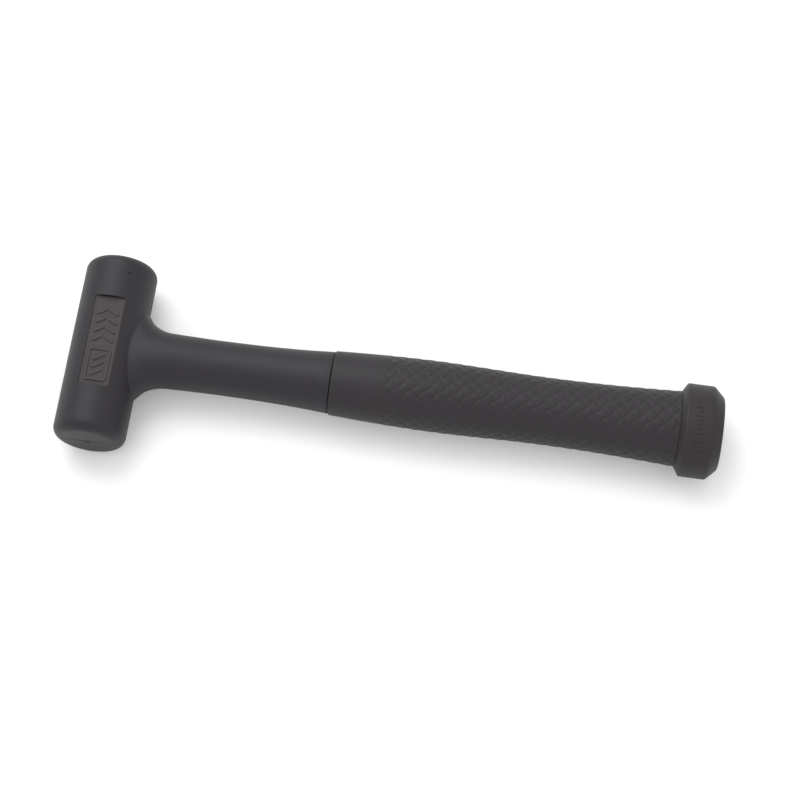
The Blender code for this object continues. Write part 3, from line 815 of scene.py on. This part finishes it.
# %% Build the moulded skin group
def build_skin_group():
    """Fine pebble, flow clouds and dust specks on Object coordinates."""
    group = bpy.data.node_groups.new("moulded skin", "ShaderNodeTree")
    for name, kind, value in (
            ("Tint", "NodeSocketColor", (0.03, 0.03, 0.03, 1)),
            ("Cloud Tint", "NodeSocketColor", (0.04, 0.04, 0.04, 1)),
            ("Pebble Scale", "NodeSocketFloat", 2600.0),
            ("Dust", "NodeSocketFloat", 0.4),
            ("Roughness", "NodeSocketFloat", 0.5)):
        socket = group.interface.new_socket(name=name, in_out="INPUT", socket_type=kind)
        socket.default_value = value
    group.interface.new_socket(name="Color", in_out="OUTPUT", socket_type="NodeSocketColor")
    group.interface.new_socket(name="Roughness", in_out="OUTPUT", socket_type="NodeSocketFloat")
    group.interface.new_socket(name="Height", in_out="OUTPUT", socket_type="NodeSocketFloat")
    inside = add_node(group, "NodeGroupInput", (-900, 0))
    outside = add_node(group, "NodeGroupOutput", (700, 0))
    place = add_node(group, "ShaderNodeTexCoord", (-900, 400))
    clouds = add_node(group, "ShaderNodeTexNoise", (-600, 400), Scale=55.0, Detail=4.0)
    pebble = add_node(group, "ShaderNodeTexNoise", (-600, 150), Detail=3.0)
    specks = add_node(group, "ShaderNodeTexVoronoi", (-600, -150), Scale=420.0)
    speck_mask = add_node(group, "ShaderNodeMapRange", (-350, -150), From_Min=0.05, From_Max=0.14,
                          To_Min=1.0, To_Max=0.0)
    patches = add_node(group, "ShaderNodeTexNoise", (-600, -400), Scale=90.0, Detail=2.0)
    patch_mask = add_node(group, "ShaderNodeMapRange", (-350, -400), From_Min=0.55, From_Max=0.72)
    dust_spots = add_node(group, "ShaderNodeMath", (-150, -200), operation="MULTIPLY")
    dust = add_node(group, "ShaderNodeMath", (0, -200), operation="MULTIPLY")
    cloud_mix = add_node(group, "ShaderNodeMix", (0, 350), data_type="RGBA")
    dust_mix = add_node(group, "ShaderNodeMix", (250, 300), data_type="RGBA")
    rough_lift = add_node(group, "ShaderNodeMapRange", (0, 50), To_Min=-0.05, To_Max=0.07)
    rough_sum = add_node(group, "ShaderNodeMath", (250, 50), operation="ADD")
    height_sum = add_node(group, "ShaderNodeMath", (250, -120), operation="MULTIPLY_ADD")
    dust_mix.inputs[7].default_value = (0.16, 0.155, 0.15, 1)
    height_sum.inputs[1].default_value = 0.35
    join = group.links.new
    for texture in (clouds, pebble, specks, patches):
        join(place.outputs["Object"], texture.inputs["Vector"])
    join(inside.outputs["Pebble Scale"], pebble.inputs["Scale"])
    join(clouds.outputs["Fac"], cloud_mix.inputs[0])
    join(inside.outputs["Tint"], cloud_mix.inputs[6])
    join(inside.outputs["Cloud Tint"], cloud_mix.inputs[7])
    join(specks.outputs["Distance"], speck_mask.inputs["Value"])
    join(patches.outputs["Fac"], patch_mask.inputs["Value"])
    join(speck_mask.outputs[0], dust_spots.inputs[0])
    join(patch_mask.outputs[0], dust_spots.inputs[1])
    join(dust_spots.outputs[0], dust.inputs[0])
    join(inside.outputs["Dust"], dust.inputs[1])
    join(dust.outputs[0], dust_mix.inputs[0])
    join(cloud_mix.outputs[2], dust_mix.inputs[6])
    join(dust_mix.outputs[2], outside.inputs["Color"])
    join(clouds.outputs["Fac"], rough_lift.inputs["Value"])
    join(rough_lift.outputs[0], rough_sum.inputs[0])
    join(inside.outputs["Roughness"], rough_sum.inputs[1])
    join(rough_sum.outputs[0], outside.inputs["Roughness"])
    join(clouds.outputs["Fac"], height_sum.inputs[0])
    join(pebble.outputs["Fac"], height_sum.inputs[2])
    join(height_sum.outputs[0], outside.inputs["Height"])
    return group


skin_group = build_skin_group()
print("group:", skin_group.name, "with", len(skin_group.nodes), "nodes")


# %% Make the outer finishes
def make_skin(name, tint, cloud_tint, pebble_scale, dust, roughness, bump):
    """One soft plastic finish built on the moulded skin group."""
    finish = bpy.data.materials.new(name)
    finish.use_nodes = True
    tree = finish.node_tree
    shader = tree.nodes["Principled BSDF"]
    skin = add_node(tree, "ShaderNodeGroup", (-500, 0), node_tree=skin_group)
    skin.inputs["Tint"].default_value = (*tint, 1)
    skin.inputs["Cloud Tint"].default_value = (*cloud_tint, 1)
    skin.inputs["Pebble Scale"].default_value = pebble_scale
    skin.inputs["Dust"].default_value = dust
    skin.inputs["Roughness"].default_value = roughness
    grain = add_node(tree, "ShaderNodeBump", (-250, -200), Strength=bump, Distance=0.00008)
    shader.inputs["Specular IOR Level"].default_value = 0.36
    tree.links.new(skin.outputs["Color"], shader.inputs["Base Color"])
    tree.links.new(skin.outputs["Roughness"], shader.inputs["Roughness"])
    tree.links.new(skin.outputs["Height"], grain.inputs["Height"])
    tree.links.new(grain.outputs["Normal"], shader.inputs["Normal"])
    return finish


def dress(piece, *finishes):
    """Give a piece its finishes, in the order of its material slots."""
    piece.data.materials.clear()
    for finish in finishes:
        piece.data.materials.append(finish)


urethane = make_skin(
    "urethane", (0.0128, 0.0106, 0.0138), (0.0176, 0.0150, 0.0186), 2600, 0.35, 0.50, 0.35)
grip_rubber = make_skin(
    "grip rubber", (0.0140, 0.0114, 0.0138), (0.0190, 0.0160, 0.0190), 3000, 0.45, 0.52, 0.4)
cap_rubber = make_skin(
    "cap rubber", (0.0142, 0.0114, 0.0136), (0.0192, 0.0160, 0.0188), 2600, 0.40, 0.50, 0.35)
# The recess floor and its relief get a lighter, browner base than the rest. The lightness is painted
# light, standing in for the overhead light that the flat, upward-facing floor catches. The higher
# roughness is its matt finish.
recess_painted_light = make_skin(
    "recess urethane, painted light", (0.0455, 0.0380, 0.0390), (0.0580, 0.0495, 0.0500), 3400, 0.25, 0.72, 0.5)
dress(jacket, urethane, recess_painted_light)
dress(grip, grip_rubber)
dress(cap, cap_rubber)
# Faces on the recess floor and its relief take the finish with the painted light.
for face in jacket.data.polygons:
    inside_x = abs(face.center.x - HEAD_X) < RECESS_HALF_WIDTH + HAIR
    inside_y = abs(face.center.y) < RECESS_HALF_LENGTH - HAIR / 10
    low_enough = RECESS_FLOOR_Z - HAIR / 10 < face.center.z < RECESS_FLOOR_Z + RELIEF_HEIGHT + HAIR / 10
    if inside_x and inside_y and low_enough and face.normal.z > -0.1 and (
            face.normal.z > 0.999 or face.center.z < RECESS_FLOOR_Z + RELIEF_HEIGHT - HAIR / 10
            and abs(face.center.x - HEAD_X) < RECESS_HALF_WIDTH - HAIR):
        face.material_index = 1
print("outer finishes:", urethane.name, grip_rubber.name, cap_rubber.name)

# %% [markdown]
# ## The steel inside
# The core is hidden, but it is part of the object. Its pieces keep the frame's own meshes, and
# get steel finishes: drawn tube, turned bar and cast shot.

# %% Make the steel finishes
def make_steel(name, tint, roughness, streak_scale, stretch):
    """Bare steel with fine streaks along the piece and a faint dull film."""
    finish = bpy.data.materials.new(name)
    finish.use_nodes = True
    tree = finish.node_tree
    shader = tree.nodes["Principled BSDF"]
    shader.inputs["Metallic"].default_value = 1.0
    place = add_node(tree, "ShaderNodeTexCoord", (-900, 0))
    turn = add_node(tree, "ShaderNodeMapping", (-700, 0), Scale=stretch)
    streaks = add_node(tree, "ShaderNodeTexNoise", (-500, 100), Scale=streak_scale, Detail=4.0)
    film = add_node(tree, "ShaderNodeTexNoise", (-500, -150), Scale=160.0, Detail=3.0)
    tone = add_node(tree, "ShaderNodeMix", (-250, 150), data_type="RGBA")
    tone.inputs[6].default_value = (*[part * 0.7 for part in tint], 1)
    tone.inputs[7].default_value = (*tint, 1)
    rough = add_node(tree, "ShaderNodeMapRange", (-250, -100), To_Min=roughness - 0.08,
                     To_Max=roughness + 0.12)
    grain = add_node(tree, "ShaderNodeBump", (-250, -300), Strength=0.2, Distance=0.00005)
    join = tree.links.new
    join(place.outputs["Object"], turn.inputs["Vector"])
    join(turn.outputs["Vector"], streaks.inputs["Vector"])
    join(place.outputs["Object"], film.inputs["Vector"])
    join(film.outputs["Fac"], tone.inputs[0])
    join(tone.outputs[2], shader.inputs["Base Color"])
    join(streaks.outputs["Fac"], rough.inputs["Value"])
    join(rough.outputs[0], shader.inputs["Roughness"])
    join(streaks.outputs["Fac"], grain.inputs["Height"])
    join(grain.outputs["Normal"], shader.inputs["Normal"])
    return finish


drawn_steel = make_steel("drawn steel", (0.46, 0.46, 0.47), 0.34, 900.0, (1.0, 0.08, 1.0))
turned_steel = make_steel("turned steel", (0.50, 0.50, 0.50), 0.28, 900.0, (0.08, 1.0, 1.0))
cast_steel = make_steel("cast shot", (0.33, 0.32, 0.31), 0.42, 700.0, (1.0, 1.0, 1.0))
for name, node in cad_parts.items():
    if name.startswith("shot_") and name != "shot_canister":
        dress(node, cast_steel)
    elif name.startswith("canister") or name in ("shot_canister", "core_socket"):
        dress(node, drawn_steel)
    elif name == "core_rod":
        dress(node, turned_steel)
print("steel finishes:", drawn_steel.name, turned_steel.name, cast_steel.name)

# %% [markdown]
# ## The floor, the light and the camera
# The mallet lies on a plain white table. A very soft light comes from behind and from the left,
# low enough to leave a short shade in front, and the white surroundings fill the rest.

# %% Lay the floor
bpy.ops.mesh.primitive_plane_add(size=6, location=(0, 0, CAD_LOW[2] - 0.0002))
floor = bpy.context.object
floor.name = "floor"
settle(floor)
open_mesh(floor, "FACE")
bpy.ops.mesh.select_all(action="SELECT")
bpy.ops.mesh.subdivide(number_cuts=3)
close_mesh()
table_white = bpy.data.materials.new("table white")
table_white.use_nodes = True
table_shader = table_white.node_tree.nodes["Principled BSDF"]
table_shader.inputs["Base Color"].default_value = (0.90, 0.90, 0.90, 1)
table_shader.inputs["Roughness"].default_value = 0.9
table_shader.inputs["Specular IOR Level"].default_value = 0.1
table_shader.inputs["Emission Color"].default_value = (1, 1, 1, 1)
table_shader.inputs["Emission Strength"].default_value = 0.10
dress(floor, table_white)
print("floor laid")

# %% Light the table
scene = bpy.context.scene
scene.view_settings.view_transform = "Standard"
world = bpy.data.worlds.new("white surroundings")
scene.world = world
world.use_nodes = True
world.node_tree.nodes["Background"].inputs["Color"].default_value = (1, 1, 1, 1)
world.node_tree.nodes["Background"].inputs["Strength"].default_value = 1.0


def add_area_light(name, place, aim, size, power):
    """A square soft box that faces a point."""
    lamp = bpy.data.lights.new(name, "AREA")
    lamp.size = size
    lamp.energy = power
    lamp_object = bpy.data.objects.new(name, lamp)
    scene.collection.objects.link(lamp_object)
    lamp_object.location = place
    direction = Vector(aim) - Vector(place)
    lamp_object.rotation_euler = direction.to_track_quat("-Z", "Y").to_euler()
    return lamp_object


add_area_light("key", (-0.55, 0.70, 1.25), (0, 0, 0), 1.1, 10.5)

# %% Place the camera
CAMERA_PLACE = Vector((0.05857, -0.38604, 1.01097))
CAMERA_AIM = Vector((0.00313, 0.00267, 0))
camera_data = bpy.data.cameras.new("camera")
camera_data.lens = 96.96
camera_data.sensor_width = 36
camera_data.clip_start = 0.01
camera_object = bpy.data.objects.new("camera", camera_data)
scene.collection.objects.link(camera_object)
camera_object.location = CAMERA_PLACE
camera_object.rotation_euler = (CAMERA_AIM - CAMERA_PLACE).to_track_quat("-Z", "Y").to_euler()
scene.camera = camera_object
print("camera looks down at",
      round(math.degrees(math.asin((CAMERA_PLACE - CAMERA_AIM).normalized().z)), 1), "degrees")
